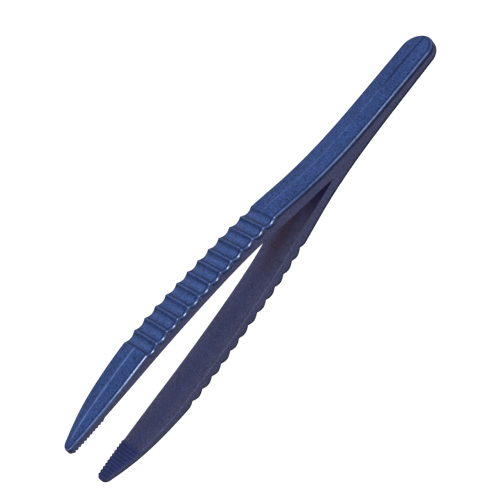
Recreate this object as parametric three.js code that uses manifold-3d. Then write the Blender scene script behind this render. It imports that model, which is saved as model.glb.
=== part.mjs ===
// Darkroom print tongs: a flat handle that forks into two springy bowed arms, with a ribbed finger
// grip on the outside of each arm and a serrated jaw pad inside each tip.
//
// Frame, in millimetres: the tongs lie on one flat side. +X runs from the heel of the handle to the
// tips, the front arm is on the -Y side and the rear arm on the +Y side, and +Z is up, across the
// width of the tongs. The origin is on the lower side face, midway along the length and between the arms.

import * as THREE from 'three';
import { mergeVertices } from 'three/addons/utils/BufferGeometryUtils.js';
import Module from 'manifold-3d';

const wasm = await Module();
wasm.setup();

// Overall size.
const LENGTH = 200;
const WIDTH = 14.5;
const HEEL_CORNER = 1.6;       // rounding of the heel's end, seen from the side
const TIP_CORNER = 0.9;        // rounding of an arm's outer corner at the tip
const TIP_RADIUS = 2.9;        // rounding of the tip, seen on its broad face
const TIP_TURN = THREE.MathUtils.degToRad(75);  // how far that rounding turns on each side
const TIP_LEAN = 11.4;         // length of the handle that eases the taper into the rounding
const TAPER_START = 157;       // distance from the heel at which the arms begin to narrow
const TAPER_END = 177;         // how far the full width still guides the taper

// Side profile of the handle and one arm: distance from the heel, and distance from the mid-plane.
const OUTER_LINE = [
  [0, 2.35], [14, 2.6], [28, 2.9], [40, 3.25], [50, 3.7], [60, 4.55], [70, 5.85], [80, 7.7],
  [90, 9.9], [100, 11.6], [112, 13.0], [126, 14.2], [142, 15.5], [157, 16.0], [168, 15.5],
  [178, 14.7], [189, 13.5], [200, 11.75],
];
const INNER_LINE = [
  [66.2, 0.2], [72, 1.3], [80, 2.55], [90, 4.35], [100, 6.4], [110, 8.0], [122, 9.3], [136, 10.45],
  [150, 11.3], [162, 11.8], [174, 11.85], [187, 11.0], [200, 9.3],
];
const CROTCH_X = 65.5;         // rounded root of the fork

// Finger grip.
const GRIP_START = 91.6;
const GRIP_END = 158.4;
const GRIP_WAVES = 12;
const GRIP_DEPTH = 1.1;
const STEPS_PER_WAVE = 6;

// Serrated jaw pads.
const PAD_START = 183.8;
const PAD_END = 199.3;
const TOOTH_PITCH = 1.4;
const TOOTH_HEIGHT = 0.45;
const PAD_PROUD = 0.5;         // tooth crests above the arm's inner face
const PAD_SUNK = 0.5;          // back of the pad below the arm's inner face

// Each arm bends at its root, just past the crotch. The flexing neck is a hinge with a narrow split.
const FLEX_X = 72;
const FLEX_SLOPE = THREE.MathUtils.degToRad(10);
const SPLIT_GAP = 0.5;
const SEAT_GAP = 0.3;          // between a pad and the pocket that it sits in
const LINE_STEP = 3;

const outerCurve = new THREE.SplineCurve(OUTER_LINE.map(([x, y]) => new THREE.Vector2(x, y)));
const innerCurve = new THREE.SplineCurve(INNER_LINE.map(([x, y]) => new THREE.Vector2(x, y)));

// The height of a curve above the mid-plane at a distance x from the heel.
function heightOf(curve, x) {
  let low = 0;
  let high = 1;
  for (let i = 0; i < 40; i += 1) {
    const middle = (low + high) / 2;
    if (curve.getPoint(middle).x < x) {
      low = middle;
    } else {
      high = middle;
    }
  }
  return curve.getPoint(low).y;
}

const outerHeight = (x) => heightOf(outerCurve, x);
const innerHeight = (x) => heightOf(innerCurve, x);

// The middle of the arm's thickness where it bends.
const FLEX_Y = (outerHeight(FLEX_X) + innerHeight(FLEX_X)) / 2;

// Evenly spaced distances from one end to the other, both ends included.
function stations(from, to, step) {
  const count = Math.max(1, Math.round(Math.abs(to - from) / step));
  return Array.from({ length: count + 1 }, (_, i) => from + ((to - from) * i) / count);
}

// How far the grip is cut below the arm's outer line at x. The front arm has scoops between narrow
// ridges. The rear arm has the same wave the other way up: rounded lobes between narrow notches, with
// half a lobe more at each end.
function gripCut(x, side) {
  const waves = ((x - GRIP_START) / (GRIP_END - GRIP_START)) * GRIP_WAVES;
  const reach = side < 0 ? 0 : 0.5;
  if (waves <= -reach || waves >= GRIP_WAVES + reach) {
    return 0;
  }
  const across = 2 * (waves - Math.floor(waves + 1e-9)) - 1;
  return side < 0 ? GRIP_DEPTH * (1 - across * across) : GRIP_DEPTH * across * across;
}

// The arm's outer line with its grip, as points from x = from to the tip's rounded corner.
function outerPoints(from, side) {
  const wave = (GRIP_END - GRIP_START) / GRIP_WAVES;
  const gripFrom = GRIP_START - wave / 2;
  const gripTo = GRIP_END + wave / 2;
  const xs = [
    ...stations(from, gripFrom, LINE_STEP),
    ...stations(gripFrom, gripTo, wave / STEPS_PER_WAVE).slice(1),
    ...stations(gripTo, LENGTH - TIP_CORNER, LINE_STEP).slice(1),
  ];
  const points = xs.map((x) => [x, outerHeight(x) - gripCut(x, side)]);
  const end = outerHeight(LENGTH);
  for (const angle of [30, 60, 90]) {
    const turn = THREE.MathUtils.degToRad(angle);
    const x = LENGTH - TIP_CORNER * (1 - Math.sin(turn));
    points.push([x, end - TIP_CORNER * (1 - Math.cos(turn))]);
  }
  return points;
}

function shapeOf(points) {
  return new THREE.Shape(points.map(([x, y]) => new THREE.Vector2(x, y)));
}

// A closed geometry as a solid that can be cut and joined.
function solidOf(geometry) {
  const bare = geometry.clone();
  bare.deleteAttribute('normal');
  bare.deleteAttribute('uv');
  const merged = mergeVertices(bare, 1e-4);
  return new wasm.Manifold(
    new wasm.Mesh({
      numProp: 3,
      vertProperties: new Float32Array(merged.attributes.position.array),
      triVerts: new Uint32Array(merged.index.array),
    }),
  );
}

// A side profile carried across the whole width.
function acrossWidth(points) {
  const geometry = new THREE.ExtrudeGeometry(shapeOf(points), { depth: WIDTH, bevelEnabled: false });
  return solidOf(geometry);
}

// The outline of the tongs seen on their broad face: round heel, straight sides, tapered round tip.
function broadOutline() {
  const half = WIDTH / 2;
  const shoulder = LENGTH - TIP_RADIUS;
  const tipX = shoulder + TIP_RADIUS * Math.cos(TIP_TURN);
  const tipZ = TIP_RADIUS * Math.sin(TIP_TURN);
  const leanX = tipX - TIP_LEAN * Math.sin(TIP_TURN);
  const leanZ = tipZ + TIP_LEAN * Math.cos(TIP_TURN);
  const shape = new THREE.Shape();
  shape.moveTo(half, -half);
  shape.lineTo(TAPER_START, -half);
  shape.bezierCurveTo(TAPER_END, -half, leanX, -leanZ, tipX, -tipZ);
  shape.absarc(shoulder, 0, TIP_RADIUS, -TIP_TURN, TIP_TURN, false);
  shape.bezierCurveTo(leanX, leanZ, TAPER_END, half, TAPER_START, half);
  shape.lineTo(half, half);
  shape.absarc(half, 0, half, Math.PI / 2, (3 * Math.PI) / 2, false);
  const depth = 4 * outerHeight(GRIP_END);
  const geometry = new THREE.ExtrudeGeometry(shape, { depth, bevelEnabled: false, curveSegments: 14 });
  geometry.translate(0, 0, -depth / 2);
  geometry.rotateX(Math.PI / 2);
  geometry.translate(0, 0, half);
  return solidOf(geometry);
}

// Everything on the tip side of the split at the root of an arm, moved along the arm by offset.
function beyondSplit(side, offset, reach, spread) {
  const geometry = new THREE.BoxGeometry(reach, spread, 4 * WIDTH);
  geometry.translate(reach / 2 + offset, 0, 0);
  geometry.rotateZ(side * FLEX_SLOPE);
  geometry.translate(FLEX_X, side * FLEX_Y, 0);
  return solidOf(geometry);
}

const broad = broadOutline();

// The handle: the flat stem, its round heel, the crotch and the root of each arm.
function handleSolid() {
  const rootX = FLEX_X + 2;
  const outer = [
    [0, outerHeight(0) - HEEL_CORNER],
    [HEEL_CORNER * (1 - Math.cos(Math.PI / 6)), outerHeight(0) - HEEL_CORNER / 2],
    [HEEL_CORNER * (1 - Math.sin(Math.PI / 6)), outerHeight(0) - HEEL_CORNER * (1 - Math.cos(Math.PI / 6))],
    ...stations(HEEL_CORNER, rootX, LINE_STEP).map((x) => [x, outerHeight(x)]),
  ];
  const inner = stations(rootX, INNER_LINE[0][0], LINE_STEP / 2).map((x) => [x, innerHeight(x)]);
  const half = [...outer, ...inner];
  const mirrored = half.map(([x, y]) => [x, -y]);
  const outline = [...mirrored, [CROTCH_X, 0], ...half.reverse()];
  let handle = acrossWidth(outline).intersect(broad);
  for (const side of [-1, 1]) {
    handle = handle.subtract(beyondSplit(side, -SPLIT_GAP / 2, 8, 8));
  }
  return handle;
}

// One arm from the split to the tip, with its grip outside and a pocket for the pad inside the tip.
function armSolid(side) {
  const pocketX = PAD_START - SEAT_GAP;
  const pocket = PAD_SUNK + SEAT_GAP;
  const rootX = FLEX_X - 2;
  const inner = [
    ...stations(LENGTH, pocketX, LINE_STEP).map((x) => [x, innerHeight(x) + pocket]),
    ...stations(pocketX, rootX, LINE_STEP).map((x) => [x, innerHeight(x)]),
  ];
  const outline = [...outerPoints(rootX, side), ...inner].map(([x, y]) => [x, side * y]);
  const arm = acrossWidth(outline);
  return arm.intersect(broad).intersect(beyondSplit(side, SPLIT_GAP / 2, LENGTH, LENGTH));
}

// One jaw pad: a thin plate with a row of straight teeth across the jaw.
function padSolid(side) {
  const teeth = Math.floor((PAD_END - PAD_START) / TOOTH_PITCH);
  const crest = (x) => innerHeight(x) - PAD_PROUD;
  const face = [];
  for (let i = 0; i < teeth; i += 1) {
    const x = PAD_START + i * TOOTH_PITCH;
    face.push([x, crest(x) + TOOTH_HEIGHT]);
    face.push([x + TOOTH_PITCH / 2, crest(x + TOOTH_PITCH / 2)]);
  }
  face.push([PAD_END, crest(PAD_END) + TOOTH_HEIGHT]);
  const back = stations(PAD_END, PAD_START, LINE_STEP).map((x) => [x, innerHeight(x) + PAD_SUNK]);
  const outline = [...face, ...back].map(([x, y]) => [x, side * y]);
  return acrossWidth(outline).intersect(broad);
}

function plastic(color) {
  return new THREE.MeshStandardMaterial({ color, roughness: 0.38, metalness: 0 });
}

// A finished piece, moved from heel-based distances to the part's own origin.
function piece(name, solid, color) {
  const { numProp, vertProperties, triVerts } = solid.getMesh();
  const positions = new Float32Array((vertProperties.length / numProp) * 3);
  for (let i = 0; i < positions.length / 3; i += 1) {
    positions.set(vertProperties.subarray(i * numProp, i * numProp + 3), i * 3);
  }
  const geometry = new THREE.BufferGeometry();
  geometry.setAttribute('position', new THREE.BufferAttribute(positions, 3));
  geometry.setIndex(new THREE.BufferAttribute(new Uint32Array(triVerts), 1));
  geometry.computeVertexNormals();
  const mesh = new THREE.Mesh(geometry, plastic(color));
  mesh.name = name;
  mesh.position.set(-LENGTH / 2, 0, 0);
  return mesh;
}

const NAVY = 0x37487a;
const DEEP_NAVY = 0x2d3766;

const tongs = new THREE.Group();
tongs.add(
  piece('handle', handleSolid(), NAVY),
  piece('front_arm', armSolid(-1), NAVY),
  piece('rear_arm', armSolid(1), NAVY),
  piece('front_jaw_pad', padSolid(-1), DEEP_NAVY),
  piece('rear_jaw_pad', padSolid(1), DEEP_NAVY),
);

export default tongs;
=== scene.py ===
import math

import bmesh
import bpy
import numpy as np
from mathutils import Matrix, Vector


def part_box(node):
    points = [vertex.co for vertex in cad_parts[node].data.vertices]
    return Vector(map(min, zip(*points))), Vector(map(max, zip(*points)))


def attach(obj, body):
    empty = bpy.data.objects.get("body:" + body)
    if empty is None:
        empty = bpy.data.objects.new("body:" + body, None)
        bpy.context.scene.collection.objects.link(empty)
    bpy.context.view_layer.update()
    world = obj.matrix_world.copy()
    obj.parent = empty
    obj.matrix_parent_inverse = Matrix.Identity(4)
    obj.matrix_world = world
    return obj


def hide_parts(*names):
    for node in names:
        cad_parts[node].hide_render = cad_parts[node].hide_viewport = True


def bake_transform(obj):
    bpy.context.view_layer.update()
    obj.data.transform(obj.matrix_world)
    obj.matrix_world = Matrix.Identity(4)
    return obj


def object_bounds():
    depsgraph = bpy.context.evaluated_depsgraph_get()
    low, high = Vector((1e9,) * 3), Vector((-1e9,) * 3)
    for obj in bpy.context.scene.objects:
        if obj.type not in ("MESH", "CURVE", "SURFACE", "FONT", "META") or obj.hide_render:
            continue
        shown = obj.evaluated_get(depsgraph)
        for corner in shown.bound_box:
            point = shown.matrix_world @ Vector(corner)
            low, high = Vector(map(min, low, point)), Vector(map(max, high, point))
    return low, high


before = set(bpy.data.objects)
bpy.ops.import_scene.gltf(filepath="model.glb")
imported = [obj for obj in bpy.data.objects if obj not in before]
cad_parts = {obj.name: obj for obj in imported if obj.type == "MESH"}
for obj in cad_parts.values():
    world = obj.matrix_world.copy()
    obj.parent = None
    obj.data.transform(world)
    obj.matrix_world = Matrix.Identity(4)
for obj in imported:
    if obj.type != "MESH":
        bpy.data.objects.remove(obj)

# Darkroom print tongs in one navy plastic moulding, lying on one flat side. Shapes are worked out in
# millimetres from the heel: x runs from the heel to the tips, y outwards from the middle plane between
# the arms, and z across the width from the middle. Meshes are written in metres in the CAD's frame.

CAD_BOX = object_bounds()
MM = 0.001
# Slack for comparing distances, and the least half width that a section is taken to have.
TINY = 1e-6
LEAST_WIDTH = 1e-3
HEEL = round(CAD_BOX[0][0] / MM, 3)
LENGTH = round((CAD_BOX[1][0] - CAD_BOX[0][0]) / MM, 3)
WIDTH = round((CAD_BOX[1][2] - CAD_BOX[0][2]) / MM, 3)
FLOOR_Z = round(CAD_BOX[0][2] / MM, 3)
MID_Z = FLOOR_Z + WIDTH / 2
CROTCH_X = 65.5
# The arms' meshes start this much nearer the heel than their solids, just past the crotch.
SEAM_SETBACK = 4.0
SEAM_X = round(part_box("front_arm")[0][0] / MM - HEEL - SEAM_SETBACK, 3)
PAD_START = round(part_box("front_jaw_pad")[0][0] / MM - HEEL, 3)
PAD_END = round(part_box("front_jaw_pad")[1][0] / MM - HEEL, 3)

# Side profile of the handle and one arm: distance from the heel, and distance from the middle plane.
OUTER_LINE = [
    (0, 2.35), (18, 2.7), (36, 3.1), (50, 3.7), (64, 5.0), (76, 6.9), (88, 9.48),
    (104, 12.15), (126, 14.2), (157, 16.0), (172, 15.18), (186, 13.92), (200, 11.75),
]
INNER_LINE = [
    (CROTCH_X, 0.0), (72, 1.3), (84, 3.2), (101, 6.6), (119, 9.0), (143, 10.92),
    (167, 11.89), (184, 11.32), (200, 9.3),
]

# Outline on the broad face: a round heel, and a taper that leans into a small round tip.
TAPER_START = 157.0
TAPER_END = 177.0
TIP_RADIUS = 2.5
TIP_TURN = math.radians(75)
TIP_LEAN = 11.4

# Rounding of the long edges, and how far the middle of a face stands up between them.
OUTER_ROUND = 1.3
TIP_OUTER_ROUND = 1.0
INNER_ROUND = 0.34
LEAST_INNER_ROUND = 0.02
OUTER_CROWN = 0.38
INNER_CROWN = 0.22
# The crowns rise over these distances from the heel and the tip, and from the crotch and the pad.
OUTER_CROWN_RISE = (8.0, 12.0)
INNER_CROWN_RISE = (12.0, 4.0)

# Finger grip, and the parts of a wave at which it is cut into sections.
GRIP_START = 91.6
GRIP_END = 158.4
GRIP_WAVES = 12
GRIP_DEPTH = 1.1
RIDGE_SOFTNESS = 0.07
WAVE_STEPS = [0.03, 0.06, 0.1, 0.16, 0.25, 0.37, 0.5, 0.63, 0.75, 0.84, 0.9, 0.94, 0.97, 1.0]

# Serrated pads: the crests stand proud of the arm's inner face and the backs are bedded into it.
TOOTH_PITCH = 1.4
TOOTH_HEIGHT = 0.5
TOOTH_SOFTNESS = 0.12
PAD_PROUD = 0.52
PAD_BEDDED = 0.1
PAD_EDGE_ROUND = 0.12

# Parting line along the middle of the outer faces: a fine groove near the heel, then a fine bead.
GROOVE_WIDTH = 0.32
GROOVE_DEPTH = 0.2
BEAD_WIDTH = 0.32
BEAD_HEIGHT = 0.14
BEAD_IN_GRIP = 0.12
# The groove starts and turns into the bead between these distances from the heel, and the bead stops
# between these distances from the tip.
GROOVE_STARTS = (0.3, 1.5)
GROOVE_TURNS = (23.0, 30.0)
BEAD_STOPS = (2.5, 7.0)

# Painted shade, how much the plastic's colour is darkened: in the groove, at the foot of the rounded
# edges and all over them, between the teeth, and inside the fork, where it fades over a reach from the
# crotch. The edges' painted shade grows between two parts of their rounding. The grip is painted darker
# beside each ridge, at a part of a wave, over a part of a wave, and by an amount.
GROOVE_SHADE = 1.0
FOOT_SHADE = 1.0
FOOT_SHADE_REACH = (0.16, 0.03)
EDGE_SHADE = 0.6
EDGE_SHADE_REACH = (1.25, 0.85)
TOOTH_SHADE = 0.6
FORK_SHADE = 0.7
FORK_REACH = 34.0
FLANK_SHADES = ((0.12, 0.08, 0.55), (0.86, 0.055, 0.85))

# Painted highlight: how much paler the plastic is painted where light would glint, along a rounded edge,
# on the bead, and on the grip's ridges and scoop floors. An edge's painted highlight is brightest at a part
# of its rounding, and a scoop's at a part of a wave and only past the rounded edge.
EDGE_HIGHLIGHT = 0.45
TIP_EDGE_HIGHLIGHT = 1.0
EDGE_HIGHLIGHT_PLACE = 0.34
EDGE_HIGHLIGHT_SPREAD = 0.2
STEM_BEAD_HIGHLIGHT = 0.3
TIP_BEAD_HIGHLIGHT = 1.0
RIDGE_HIGHLIGHT = 0.3
RIDGE_HIGHLIGHT_SPREAD = 0.045
SCOOP_HIGHLIGHT = 0.22
SCOOP_HIGHLIGHT_PLACE = 0.47
SCOOP_HIGHLIGHT_SPREAD = 0.17
SCOOP_HIGHLIGHT_REACH = (0.7, 1.3)

# The side faces' painted shade is warmer on the stem, and the inner faces' painted shade is darker and
# more purple near the fork. Both tints fade between these distances from the heel.
STEM_TINT = (20.0, 55.0)
ROOT_TINT = (88.0, 118.0)

# The outer face takes the side faces' greyer painted shade this near its outline, and an inner face has
# its own darker painted shade, for the shade between the arms, along its middle, fading over this part of
# its half width.
EDGE_TINT = 0.12
MIDDLE_TINT = 0.62

# Side faces: rows of faces from the outer to the inner edge. The first rows stand at set depths from the
# outer face, and the last is a narrow lip at the inner one.
WALL_ROWS = 5
WALL_DEPTHS = (0.38, 0.7)
WALL_LIP = 0.06

# Colours of the painted shade at its darkest, of the painted highlight at its palest, and of the teeth.
SHADE_COLOUR = (0.0, 0.0018, 0.012, 1.0)
HIGHLIGHT_COLOUR = (0.046, 0.072, 0.17, 1.0)
TEETH_COLOUR = (0.0055, 0.0090, 0.0525, 1.0)


def smooth_line(points):
    """A cubic spline through the points, with no bend at its ends, as a function of x."""
    x, y = np.array(points, float).T
    gap = np.diff(x)
    count = len(x)
    matrix = np.eye(count)
    right = np.zeros(count)
    for i in range(1, count - 1):
        matrix[i, i - 1 : i + 2] = gap[i - 1], 2 * (gap[i - 1] + gap[i]), gap[i]
        right[i] = 6 * ((y[i + 1] - y[i]) / gap[i] - (y[i] - y[i - 1]) / gap[i - 1])
    bend = np.linalg.solve(matrix, right)

    def height(q):
        q = np.asarray(q, float)
        i = np.clip(np.searchsorted(x, q) - 1, 0, count - 2)
        a, b, h = x[i + 1] - q, q - x[i], gap[i]
        cubic = (bend[i] * a**3 + bend[i + 1] * b**3) / (6 * h)
        return cubic + (y[i] / h - bend[i] * h / 6) * a + (y[i + 1] / h - bend[i + 1] * h / 6) * b

    return height


outer_line = smooth_line(OUTER_LINE)
inner_line = smooth_line(INNER_LINE)


def smoothstep(low, high, q):
    """Eases from 0 where q is low to 1 where it is high. Low may be the larger of the two."""
    t = np.clip((np.asarray(q, float) - low) / (high - low), 0, 1)
    return t * t * (3 - 2 * t)


def peak(place, spread, q):
    """1 where q is at a place, falling off to both sides over a spread."""
    return np.exp(-(((q - place) / spread) ** 2))


def bezier(a, b, c, d, count):
    """Points along a cubic curve from a to d that starts towards b and ends coming from c."""
    t = np.linspace(0, 1, count)[:, None]
    a, b, c, d = (np.array(p, float) for p in (a, b, c, d))
    return (1 - t) ** 3 * a + 3 * t * (1 - t) ** 2 * b + 3 * t**2 * (1 - t) * c + t**3 * d


def broad_outline():
    """Half of the outline on the broad face, from the heel's end to the tip's end, as (x, z) points."""
    half = WIDTH / 2
    turn = np.linspace(0, math.pi / 2, 60)
    heel = np.c_[half * (1 - np.cos(turn)), half * np.sin(turn)]
    centre = LENGTH - TIP_RADIUS
    turn = np.linspace(TIP_TURN, 0, 40)
    tip = np.c_[centre + TIP_RADIUS * np.cos(turn), TIP_RADIUS * np.sin(turn)]
    lean = tip[0] - TIP_LEAN * np.array([math.sin(TIP_TURN), -math.cos(TIP_TURN)])
    taper = bezier((TAPER_START, half), (TAPER_END, half), lean, tip[0], 80)
    return np.vstack([heel, taper, tip[1:]])


OUTLINE = broad_outline()


def half_width(x):
    """Half of the width across the broad face."""
    return np.interp(x, OUTLINE[:, 0], OUTLINE[:, 1])


def edge_distance(x, z):
    """Distance from points on the broad face to its outline."""
    flat = np.c_[np.ravel(x), np.abs(np.ravel(z))]
    best = np.full(len(flat), np.inf)
    for a, b in zip(OUTLINE[:-1], OUTLINE[1:]):
        run = b - a
        t = np.clip(((flat - a) @ run) / (run @ run), 0, 1)
        best = np.minimum(best, np.hypot(*(flat - a - t[:, None] * run).T))
    return best.reshape(np.shape(x))


def grip_waves(x):
    """How many grip waves lie between the grip's start and x."""
    return (x - GRIP_START) / (GRIP_END - GRIP_START) * GRIP_WAVES


def wave_part(x):
    """Which part of a grip wave x is at, from a ridge at 0 to the next at 1."""
    waves = grip_waves(x)
    return waves - np.floor(waves)


def in_grip(x):
    """1 in the grip, 0 elsewhere."""
    return smoothstep(GRIP_START - 0.5, GRIP_START + 1, x) * smoothstep(GRIP_END + 0.5, GRIP_END - 1, x)


def grip_cut(x, side):
    """How deep the grip is cut. The front arm has scoops between narrow ridges, and the rear arm has
    the same wave the other way up, rounded lobes between narrow notches, with half a lobe more at
    each end."""
    waves = grip_waves(x)
    reach = 0 if side < 0 else 0.5
    inside = (waves > -reach) & (waves < GRIP_WAVES + reach)
    near = 1 - np.abs(2 * wave_part(x) - 1)
    near = np.sqrt(near**2 + RIDGE_SOFTNESS**2) - RIDGE_SOFTNESS
    cut = GRIP_DEPTH * (1 - (1 - near) ** 2) if side < 0 else GRIP_DEPTH * (1 - near) ** 2
    return np.where(inside, cut, 0.0)


def round_drop(distance, radius):
    """How far a rounded edge falls below the face at a distance in from the outline."""
    inward = np.clip(1 - distance / np.maximum(radius, TINY), 0, 1)
    return radius * (1 - np.sqrt(np.clip(1 - inward**2, 0, 1)))


def groove(x, z):
    """1 along the groove near the heel, 0 elsewhere."""
    along = smoothstep(*GROOVE_STARTS, x) * (1 - smoothstep(*GROOVE_TURNS, x))
    return peak(0, GROOVE_WIDTH, z) * along


def bead(x, z):
    """1 along the bead from the groove to the tip, less across the grip, 0 elsewhere."""
    along = smoothstep(*GROOVE_TURNS, x) * smoothstep(*BEAD_STOPS, LENGTH - x)
    return peak(0, BEAD_WIDTH, z) * along * (1 - (1 - BEAD_IN_GRIP) * in_grip(x))


def parting(x, z):
    """How far the parting line stands above the outer face."""
    return BEAD_HEIGHT * bead(x, z) - GROOVE_DEPTH * groove(x, z)


def outer_round(x):
    """Rounding of the outer edges."""
    return OUTER_ROUND + (TIP_OUTER_ROUND - OUTER_ROUND) * smoothstep(TAPER_START, LENGTH, x)


def outer_shade(x, z):
    """Painted shade on the outer face: the groove, the grip beside its ridges, and the rounded edges."""
    inward = edge_distance(x, z) / outer_round(x)
    foot = FOOT_SHADE * smoothstep(*FOOT_SHADE_REACH, inward)
    edge = EDGE_SHADE * smoothstep(*EDGE_SHADE_REACH, inward)
    part = wave_part(x)
    flanks = sum(amount * peak(place, spread, part) for place, spread, amount in FLANK_SHADES)
    return np.maximum.reduce([foot, edge, in_grip(x) * flanks, GROOVE_SHADE * groove(x, z)])


def outer_painted_highlight(x, z):
    """Painted highlight on the outer face: its rounded edges, the bead, and the grip's ridges and scoops.
    """
    inward = edge_distance(x, z) / outer_round(x)
    edge = np.interp(x, (TAPER_START, TAPER_END), (EDGE_HIGHLIGHT, TIP_EDGE_HIGHLIGHT))
    edge = edge * peak(EDGE_HIGHLIGHT_PLACE, EDGE_HIGHLIGHT_SPREAD, inward)
    part = wave_part(x)
    ridge = RIDGE_HIGHLIGHT * peak(0, RIDGE_HIGHLIGHT_SPREAD, np.minimum(part, 1 - part))
    scoop = SCOOP_HIGHLIGHT * peak(SCOOP_HIGHLIGHT_PLACE, SCOOP_HIGHLIGHT_SPREAD, part)
    scoop = scoop * smoothstep(*SCOOP_HIGHLIGHT_REACH, inward)
    line = np.where(x < GRIP_START, STEM_BEAD_HIGHLIGHT, TIP_BEAD_HIGHLIGHT) * bead(x, z)
    return np.maximum.reduce([edge, line, in_grip(x) * np.maximum(ridge, scoop)])


def crown(x, z, height):
    """How far a face stands up towards its middle, where it is highest."""
    return height * (1 - np.abs(z) / np.maximum(half_width(x), LEAST_WIDTH))


def outer_surface(x, z, side):
    """Distance of the outer face from the middle plane."""
    rise = crown(x, z, OUTER_CROWN) * smoothstep(0, OUTER_CROWN_RISE[0], x)
    rise = rise * smoothstep(LENGTH, LENGTH - OUTER_CROWN_RISE[1], x)
    drop = round_drop(edge_distance(x, z), outer_round(x))
    return outer_line(x) - grip_cut(x, side) + rise + parting(x, z) - drop


def inner_round(x):
    """Rounding of the inner edges: none at the crotch, and hardly any under the pad."""
    grow = smoothstep(CROTCH_X + 4, CROTCH_X + 44, x) * smoothstep(PAD_START, PAD_START - 0.6, x)
    return LEAST_INNER_ROUND * smoothstep(CROTCH_X, CROTCH_X + 1, x) + INNER_ROUND * grow


def inner_surface(x, z):
    """Distance of the inner face from the middle plane."""
    rise = crown(x, z, INNER_CROWN) * smoothstep(CROTCH_X, CROTCH_X + INNER_CROWN_RISE[0], x)
    rise = rise * smoothstep(PAD_START, PAD_START - INNER_CROWN_RISE[1], x)
    drop = round_drop(edge_distance(x, z), inner_round(x))
    return inner_line(x) - rise + drop


def tooth_wave(x):
    """0 at the root of a tooth and 1 at its crest, with both slightly rounded."""
    part = (x - PAD_START) / TOOTH_PITCH
    saw = 1 - np.abs(2 * (part - np.floor(part)) - 1)
    return smoothstep(-TOOTH_SOFTNESS, 1 + TOOTH_SOFTNESS, saw)


def pad_face(x, z):
    """Distance of a pad's toothed face from the middle plane."""
    edge = round_drop(edge_distance(x, z), PAD_EDGE_ROUND)
    return inner_line(x) - PAD_PROUD + TOOTH_HEIGHT * (1 - tooth_wave(x)) + edge


def pad_back(x, _z):
    """Distance of a pad's back from the middle plane, flat across the width."""
    return inner_line(x) + PAD_BEDDED


def across_steps():
    """Positions across the width from -1 to 1: close together at the edges and at the parting line."""
    edge = 1 - (OUTER_ROUND / (WIDTH / 2)) * (1 - np.sin(np.linspace(math.pi / 2, 0, 11)))
    middle = np.array([0.0, 0.01, 0.02, 0.032, 0.046, 0.065, 0.11])
    broad = np.r_[np.linspace(0.2, edge[-1] - 0.08, 7), edge[-1] - 0.035]
    half = np.unique(np.round(np.r_[middle, broad, edge], 6))
    return np.r_[-half[:0:-1], half]


STEPS = across_steps()
PAD_STEPS = np.r_[-1.0, np.linspace(-0.985, 0.985, 13), 1.0]


def stations(low, high, step):
    """Even positions from low to high, about a step apart."""
    return np.linspace(low, high, max(2, int(round((high - low) / step)) + 1))


def rows():
    """Distances from the heel at which the tongs are cut into sections, closer together where the shape
    turns quickly."""
    turn = np.linspace(0, math.pi / 2, 34)
    heel = WIDTH / 2 * (1 - np.cos(turn))
    wave = (GRIP_END - GRIP_START) / GRIP_WAVES
    grip = [GRIP_START + wave * (i + s) for i in range(-1, GRIP_WAVES + 1) for s in WAVE_STEPS]
    turn = np.linspace(0, math.pi / 2, 16)
    tip = LENGTH - TIP_RADIUS * (1 - np.sin(turn))
    parts = [
        heel,
        stations(WIDTH / 2, CROTCH_X, 1.2),
        stations(CROTCH_X, SEAM_X - 0.2, 0.5),
        [SEAM_X, SEAM_X + 0.2],
        stations(SEAM_X + 1, GRIP_START - wave, 1.0),
        grip,
        stations(GRIP_END + wave, PAD_START - 0.6, 0.8),
        stations(PAD_START - 0.6, PAD_START, 0.15),
        stations(PAD_START, LENGTH - TIP_RADIUS, 0.6),
        tip,
    ]
    return np.unique(np.round(np.concatenate([np.asarray(p, float) for p in parts]), 5))


ROWS = rows()


class Skin:
    """Vertices and faces of one closed piece. Vertices in the same place are shared. Each has tones from
    0 to 1: how much it belongs to a side or inner face, and how strong its painted shade and highlight are."""

    def __init__(self):
        self.index = {}
        self.points = []
        self.tones = {"side_tone": [], "inner_tone": [], "shade": [], "painted_highlight": []}
        self.faces = []
        self.flat = []

    def vertex(self, point, side_tone=0.0, inner_tone=0.0, shade=0.0, painted_highlight=0.0):
        key = tuple(np.round(point, 4))
        if key not in self.index:
            self.index[key] = len(self.points)
            self.points.append(point)
            for values, tone in zip(self.tones.values(), (side_tone, inner_tone, shade, painted_highlight)):
                values.append(tone)
        return self.index[key]

    def face(self, corners, flat=False):
        loop = []
        for corner in corners:
            if corner not in loop:
                loop.append(corner)
        if len(loop) > 2:
            self.faces.append(loop)
            self.flat.append(flat)

    def sheet(self, lines, flat=False):
        """Faces between each line of vertices and the next."""
        for near, far in zip(lines[:-1], lines[1:]):
            for i in range(len(near) - 1):
                self.face([near[i], near[i + 1], far[i + 1], far[i]], flat)

    def make(self, name, material):
        mesh = bpy.data.meshes.new(name)
        points = np.array(self.points) + np.array([HEEL, 0, MID_Z])
        mesh.from_pydata([tuple(p * MM) for p in points], [], self.faces)
        mesh.polygons.foreach_set("use_smooth", [not f for f in self.flat])
        for tone, values in self.tones.items():
            layer = mesh.attributes.new(tone, "FLOAT", "POINT")
            layer.data.foreach_set("value", np.array(values, np.float32))
        rest = mesh.attributes.new("rest_place", "FLOAT_VECTOR", "POINT")
        rest.data.foreach_set("vector", (points * MM).astype(np.float32).ravel())
        shape = bmesh.new()
        shape.from_mesh(mesh)
        bmesh.ops.recalc_face_normals(shape, faces=shape.faces)
        shape.to_mesh(mesh)
        shape.free()
        mesh.materials.append(material)
        obj = bpy.data.objects.new(name, mesh)
        bpy.context.scene.collection.objects.link(obj)
        return obj


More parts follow.
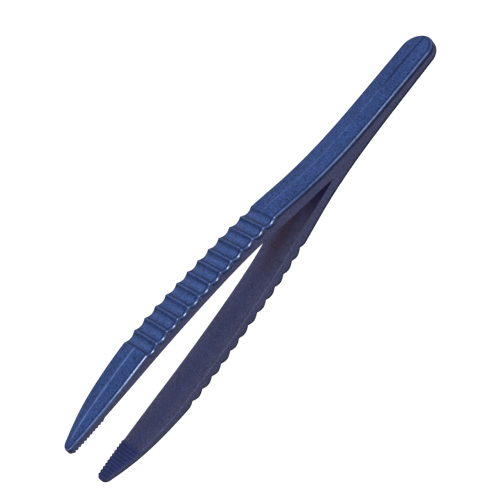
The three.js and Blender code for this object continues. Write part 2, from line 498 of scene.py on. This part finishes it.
def section_grid(xs, steps, surface, side):
    """Points of a surface over the broad outline, one row of points for each distance in xs."""
    x = np.repeat(xs[:, None], len(steps), 1)
    z = half_width(xs)[:, None] * steps[None, :]
    return np.stack([x, side * surface(x, z), z], -1)


def wall_depths(depth):
    """Rows of a side face, as distances in from the outer face."""
    if depth < 2 * WALL_DEPTHS[-1]:
        return [depth * k / WALL_ROWS for k in range(1, WALL_ROWS)]
    return [*WALL_DEPTHS, (WALL_DEPTHS[-1] + depth) / 2, depth - WALL_LIP]


def add_wall(skin, tops, feet, ids_top, ids_foot):
    """Adds a side face between an outer edge and its foot, which is an inner edge or, where there are no
    vertices yet, the middle plane."""
    lines = []
    for j, (top, foot) in enumerate(zip(tops, feet)):
        depth = abs(top[1] - foot[1])
        line = [ids_top[j]]
        for reach in wall_depths(depth):
            # Painted shade at the top of the side face, next to the rounded edge.
            fade = FOOT_SHADE * float(smoothstep(WALL_DEPTHS[-1], 0.0, reach))
            line.append(skin.vertex(top + (foot - top) * reach / depth, side_tone=1.0, shade=fade))
        line.append(ids_foot[j] if ids_foot else skin.vertex(foot, side_tone=1.0))
        lines.append(line)
    skin.sheet(lines)
    return lines


def add_half(skin, xs, side, forked):
    """Adds one side of the middle plane: outer face, side faces and, past the crotch, the inner face."""
    outer = section_grid(xs, STEPS, lambda x, z: outer_surface(x, z, side), side)
    place = outer[..., 0], outer[..., 2]
    # The outer face takes the side faces' painted shade at its outline.
    edge = smoothstep(EDGE_TINT, 0.0, edge_distance(*place))
    tones = np.stack([edge, 0 * edge, outer_shade(*place), outer_painted_highlight(*place)], -1)
    ids_out = [[skin.vertex(p, *t) for p, t in zip(row, tone)] for row, tone in zip(outer, tones)]
    skin.sheet(ids_out)
    if forked:
        inner = section_grid(xs, STEPS, inner_surface, side)
        # The inner face's darker colour along its middle and inside the fork is painted shade, and the fork
        # is painted darker still.
        middle = peak(0, MIDDLE_TINT, STEPS)
        fork = smoothstep(CROTCH_X + FORK_REACH, CROTCH_X, xs)
        ids_in = [
            [skin.vertex(p, 1.0, max(m, f), FORK_SHADE * f) for p, m in zip(row, middle)]
            for row, f in zip(inner, fork)
        ]
        skin.sheet(ids_in)
    else:
        inner = outer.copy()
        inner[..., 1] = 0
        ids_in = None
    walls = []
    for column in (0, len(STEPS) - 1):
        ids_top = [row[column] for row in ids_out]
        ids_foot = [row[column] for row in ids_in] if forked else None
        walls.append(add_wall(skin, outer[:, column], inner[:, column], ids_top, ids_foot))
    return ids_out, ids_in, walls


def add_cap(skin, ids_out, ids_in, walls):
    """Closes an arm's section where two pieces meet."""
    last = len(ids_out) - 1
    for i in range(last):
        corners = [ids_out[i], ids_out[i + 1]]
        if i == last - 1:
            corners += walls[1][1:-1]
        corners += [ids_in[i + 1], ids_in[i]]
        if i == 0:
            corners += walls[0][-2:0:-1]
        skin.face(corners, flat=True)


def make_handle(material):
    skin = Skin()
    stem = ROWS[ROWS <= CROTCH_X + TINY]
    root = ROWS[(ROWS >= CROTCH_X - TINY) & (ROWS <= SEAM_X + TINY)]
    for side in (-1, 1):
        add_half(skin, stem, side, forked=False)
        ids_out, ids_in, walls = add_half(skin, root, side, forked=True)
        add_cap(skin, ids_out[-1], ids_in[-1], [w[-1] for w in walls])
    return skin.make("tongs_handle", material)


def make_arm(name, side, material):
    skin = Skin()
    xs = ROWS[ROWS >= SEAM_X - TINY]
    ids_out, ids_in, walls = add_half(skin, xs, side, forked=True)
    add_cap(skin, ids_out[0], ids_in[0], [w[0] for w in walls])
    return skin.make(name, material)


def make_pad(name, side, material):
    """A serrated jaw pad, bedded a hair's breadth into the arm."""
    skin = Skin()
    xs = np.unique(np.round(np.r_[stations(PAD_START, PAD_END, TOOTH_PITCH / 10), PAD_END], 4))
    front = section_grid(xs, PAD_STEPS, pad_face, side)
    back = section_grid(xs, PAD_STEPS, pad_back, side)
    # Painted shade between the teeth.
    shade = TOOTH_SHADE * (1 - tooth_wave(xs))
    ids_front = [[skin.vertex(p, side_tone=1.0, shade=d) for p in row] for row, d in zip(front, shade)]
    ids_back = [[skin.vertex(p, side_tone=1.0) for p in row] for row in back]
    skin.sheet(ids_front)
    skin.sheet(ids_back)
    for column in (0, -1):
        skin.sheet([(a[column], b[column]) for a, b in zip(ids_front, ids_back)], flat=True)
    for end in (0, -1):
        skin.sheet([ids_front[end], ids_back[end]], flat=True)
    return skin.make(name, material)


class Nodes:
    """A material's node tree, with short calls to add and join nodes."""

    def __init__(self, name):
        self.material = bpy.data.materials.new(name)
        self.material.use_nodes = True
        self.tree = self.material.node_tree
        self.tree.nodes.clear()

    def add(self, kind, **values):
        node = self.tree.nodes.new(kind)
        for key, value in values.items():
            if hasattr(node, key):
                setattr(node, key, value)
            else:
                node.inputs[key.replace("_", " ")].default_value = value
        return node

    def link(self, source, target):
        self.tree.links.new(source, target)

    def attribute(self, name):
        return self.add("ShaderNodeAttribute", attribute_name=name)

    def noise(self, place, stretch, scale, detail=3.0, roughness=0.5):
        mapping = self.add("ShaderNodeMapping", Scale=stretch)
        self.link(place, mapping.inputs["Vector"])
        noise = self.add("ShaderNodeTexNoise", Scale=scale, Detail=detail, Roughness=roughness)
        self.link(mapping.outputs["Vector"], noise.inputs["Vector"])
        return noise.outputs["Fac"]

    def ramp(self, value, low, high, to_low=0.0, to_high=1.0):
        node = self.add("ShaderNodeMapRange", interpolation_type="SMOOTHSTEP")
        for key, number in (("From Min", low), ("From Max", high), ("To Min", to_low), ("To Max", to_high)):
            node.inputs[key].default_value = number
        self.link(value, node.inputs["Value"])
        return node.outputs["Result"]

    def maths(self, operation, a, b):
        node = self.add("ShaderNodeMath", operation=operation)
        for socket, value in zip(node.inputs, (a, b)):
            if isinstance(value, (int, float)):
                socket.default_value = value
            else:
                self.link(value, socket)
        return node.outputs["Value"]

    def mix(self, factor, a, b, blend="MIX"):
        node = self.add("ShaderNodeMix", data_type="RGBA", blend_type=blend)
        for socket, value in ((node.inputs[0], factor), (node.inputs[6], a), (node.inputs[7], b)):
            if isinstance(value, (int, float, tuple)):
                socket.default_value = value
            else:
                self.link(value, socket)
        return node.outputs[2]


def moulded_plastic(
    name, face_colour, side_colour, stem_side_colour, inner_colour, root_colour, gloss, grain,
):
    """Navy moulded plastic: polished outer faces, and grainier side and inner faces, whose greyer and
    darker colours are painted shade.
    """
    n = Nodes(name)
    place = n.attribute("rest_place").outputs["Vector"]
    side = n.attribute("side_tone").outputs["Fac"]
    inner = n.attribute("inner_tone").outputs["Fac"]
    shade = n.attribute("shade").outputs["Fac"]
    painted_highlight = n.attribute("painted_highlight").outputs["Fac"]

    # Large clouds, fine mottling and specks, and scuffs drawn out along the tongs.
    cloud = n.noise(place, stretch=(0.5, 1, 1), scale=110, detail=3.0, roughness=0.55)
    mottle = n.noise(place, stretch=(0.6, 1, 1), scale=700, detail=2.0)
    speck = n.noise(place, stretch=(1, 1, 1), scale=2400, detail=1.0)
    scuff = n.noise(place, stretch=(0.05, 1, 1), scale=900, detail=5.0, roughness=0.7)

    along = n.add("ShaderNodeSeparateXYZ")
    n.link(place, along.inputs["Vector"])
    from_root = n.ramp(along.outputs["X"], (HEEL + ROOT_TINT[0]) * MM, (HEEL + ROOT_TINT[1]) * MM)
    to_stem = n.ramp(along.outputs["X"], (HEEL + STEM_TINT[1]) * MM, (HEEL + STEM_TINT[0]) * MM)
    # The side, stem side, inner and root colours are painted shade on the navy face colour.
    base = n.mix(side, face_colour, n.mix(to_stem, side_colour, stem_side_colour))
    base = n.mix(inner, base, n.mix(from_root, root_colour, inner_colour))
    grain_tone = n.maths("ADD", n.ramp(speck, 0.3, 0.7, 0.45, 1.55), n.ramp(mottle, 0.3, 0.7, -0.08, 0.08))
    grain_tone = n.maths("ADD", grain_tone, n.ramp(cloud, 0.3, 0.7, -0.07, 0.07))
    grain_tone = n.maths("ADD", grain_tone, n.ramp(scuff, 0.64, 0.8, 0.0, 0.5))
    base = n.mix(1.0, base, grain_tone, "MULTIPLY")
    # Painted shade: darker colour in the groove, at the edges, between the teeth, in the fork and beside
    # the ridges.
    base = n.mix(shade, base, SHADE_COLOUR)
    # Painted highlight: paler colour where the light would glint on the edges, the bead, the ridges and the
    # scoops.
    base = n.mix(n.maths("MULTIPLY", painted_highlight, n.ramp(mottle, 0.3, 0.6, 0.55, 1.0)), base, HIGHLIGHT_COLOUR)

    rough = n.ramp(cloud, 0.3, 0.7, gloss - 0.03, gloss + 0.04)
    rough = n.maths("ADD", rough, n.maths("MULTIPLY", side, n.ramp(shade, 0.2, 1.0, 0.5, 0.02)))
    rough = n.maths("ADD", rough, n.ramp(scuff, 0.6, 0.8, 0.0, 0.1))

    height = n.maths("MULTIPLY", speck, n.ramp(side, 0.0, 1.0, 0.25, 1.0))
    height = n.maths("ADD", height, n.maths("MULTIPLY", mottle, 0.8))
    bump = n.add("ShaderNodeBump", Strength=grain, Distance=0.00003)
    n.link(height, bump.inputs["Height"])

    shader = n.add("ShaderNodeBsdfPrincipled")
    shader.inputs["IOR"].default_value = 1.49
    shader.inputs["Specular IOR Level"].default_value = 0.35
    shader.inputs["Specular Tint"].default_value = (0.72, 0.84, 1.0, 1.0)
    n.link(base, shader.inputs["Base Color"])
    n.link(rough, shader.inputs["Roughness"])
    n.link(bump.outputs["Normal"], shader.inputs["Normal"])
    output = n.add("ShaderNodeOutputMaterial")
    n.link(shader.outputs["BSDF"], output.inputs["Surface"])
    return n.material


def floor_material():
    n = Nodes("pale_floor")
    place = n.add("ShaderNodeTexCoord").outputs["Object"]
    patches = n.ramp(n.noise(place, stretch=(1, 1, 1), scale=8), 0.3, 0.7)
    tint = n.mix(patches, (0.57, 0.57, 0.57, 1.0), (0.59, 0.59, 0.59, 1.0))
    shader = n.add("ShaderNodeBsdfPrincipled", Roughness=0.8)
    n.link(tint, shader.inputs["Base Color"])
    output = n.add("ShaderNodeOutputMaterial")
    n.link(shader.outputs["BSDF"], output.inputs["Surface"])
    return n.material


# Floor, in metres: its reach from the middle, how far out it stays flat, and how high it curves up.
FLOOR_REACH = 3.0
FLOOR_FLAT = 1.6
FLOOR_LIFT = 0.6
FLOOR_RINGS = 8
FLOOR_SIDES = 48


def make_floor():
    """A wide pale floor that curves up softly far from the tongs. It doesn't show in their gloss."""
    shape = bmesh.new()
    rings = []
    centre = shape.verts.new((0, 0, FLOOR_Z * MM))
    for k in range(1, FLOOR_RINGS + 1):
        radius = FLOOR_REACH * (k / FLOOR_RINGS) ** 1.5
        lift = FLOOR_LIFT * smoothstep(FLOOR_FLAT, FLOOR_REACH, radius)
        rings.append([
            shape.verts.new((radius * math.cos(a), radius * math.sin(a), FLOOR_Z * MM + float(lift)))
            for a in np.linspace(0, 2 * math.pi, FLOOR_SIDES, endpoint=False)
        ])
    for i in range(FLOOR_SIDES):
        j = (i + 1) % FLOOR_SIDES
        shape.faces.new((centre, rings[0][i], rings[0][j]))
        for inner, outer in zip(rings[:-1], rings[1:]):
            shape.faces.new((inner[i], outer[i], outer[j], inner[j]))
    mesh = bpy.data.meshes.new("floor")
    shape.to_mesh(mesh)
    shape.free()
    mesh.polygons.foreach_set("use_smooth", [True] * len(mesh.polygons))
    mesh.materials.append(floor_material())
    obj = bpy.data.objects.new("floor", mesh)
    obj.visible_glossy = False
    bpy.context.scene.collection.objects.link(obj)


# Camera: where it stands round the tongs, how far it is turned about its own axis, how many metres off
# and aside it stands, and its lens and sensor in millimetres.
CAMERA_AZIMUTH = math.radians(16.29)
CAMERA_ELEVATION = math.radians(47.54)
CAMERA_ROLL = math.radians(116.73)
CAMERA_DISTANCE = 0.600
CAMERA_ASIDE = (-0.00430, -0.00148)
CAMERA_LENS = 120.86
SENSOR = 36.0


def camera_axes():
    """The camera's right, up and backward directions."""
    sa, ca = math.sin(CAMERA_AZIMUTH), math.cos(CAMERA_AZIMUTH)
    se, ce = math.sin(CAMERA_ELEVATION), math.cos(CAMERA_ELEVATION)
    back = Vector((sa * ce, -ca * ce, se))
    level = Vector((ca, sa, 0))
    upright = back.cross(level)
    right = math.cos(CAMERA_ROLL) * level + math.sin(CAMERA_ROLL) * upright
    return right, back.cross(right), back


def make_camera():
    right, up, back = camera_axes()
    data = bpy.data.cameras.new("camera")
    data.lens = CAMERA_LENS
    data.sensor_width = SENSOR
    camera = bpy.data.objects.new("camera", data)
    place = Vector((0, 0, MID_Z * MM)) + CAMERA_ASIDE[0] * right + CAMERA_ASIDE[1] * up
    place += CAMERA_DISTANCE * back
    camera.matrix_world = Matrix.Translation(place) @ Matrix((right, up, back)).transposed().to_4x4()
    bpy.context.scene.collection.objects.link(camera)
    bpy.context.scene.camera = camera


def soft_light(name, direction, distance, size, power):
    """A square softbox that faces the tongs from a direction and casts no shadow."""
    data = bpy.data.lights.new(name, "AREA")
    data.shape = "SQUARE"
    data.size = size
    data.energy = power
    data.use_shadow = False
    light = bpy.data.objects.new(name, data)
    direction = Vector(direction).normalized()
    light.location = direction * distance
    light.rotation_euler = direction.to_track_quat("Z", "Y").to_euler()
    bpy.context.scene.collection.objects.link(light)


def make_lights():
    soft_light("key_light", direction=(-0.10, -0.76, 0.64), distance=1.2, size=0.6, power=41)
    soft_light("top_light", direction=(0.2, 0.5, 1.0), distance=1.6, size=1.2, power=10)
    world = bpy.data.worlds.new("studio")
    world.use_nodes = True
    background = world.node_tree.nodes["Background"]
    background.inputs["Color"].default_value = (0.95, 0.96, 1.0, 1.0)
    background.inputs["Strength"].default_value = 0.3
    bpy.context.scene.world = world
    bpy.context.scene.view_settings.view_transform = "Standard"


make_camera()
make_floor()
make_lights()

# The side, stem side, inner and root colours are the navy plastic painted greyer and darker as shade.
plastic = moulded_plastic(
    "navy_plastic",
    face_colour=(0.0095, 0.0213, 0.0722, 1.0),
    side_colour=(0.0152, 0.0149, 0.0395, 1.0),
    stem_side_colour=(0.0165, 0.0160, 0.0395, 1.0),
    inner_colour=(0.0098, 0.0108, 0.0365, 1.0),
    root_colour=(0.0095, 0.0026, 0.0105, 1.0),
    gloss=0.22,
    grain=0.25,
)
cut_plastic = moulded_plastic(
    "navy_plastic_teeth",
    face_colour=TEETH_COLOUR,
    side_colour=TEETH_COLOUR,
    stem_side_colour=TEETH_COLOUR,
    inner_colour=TEETH_COLOUR,
    root_colour=TEETH_COLOUR,
    gloss=0.34,
    grain=0.3,
)

handle = make_handle(plastic)
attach(handle, "handle")
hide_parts("handle")

for arm_name, arm_side in (("front_arm", -1), ("rear_arm", 1)):
    arm = make_arm(f"tongs_{arm_name}", arm_side, plastic)
    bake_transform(arm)
    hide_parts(arm_name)
    pad_name = arm_name.replace("arm", "jaw_pad")
    pad = make_pad(f"tongs_{pad_name}", arm_side, cut_plastic)
    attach(pad, arm_name)
    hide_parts(pad_name)
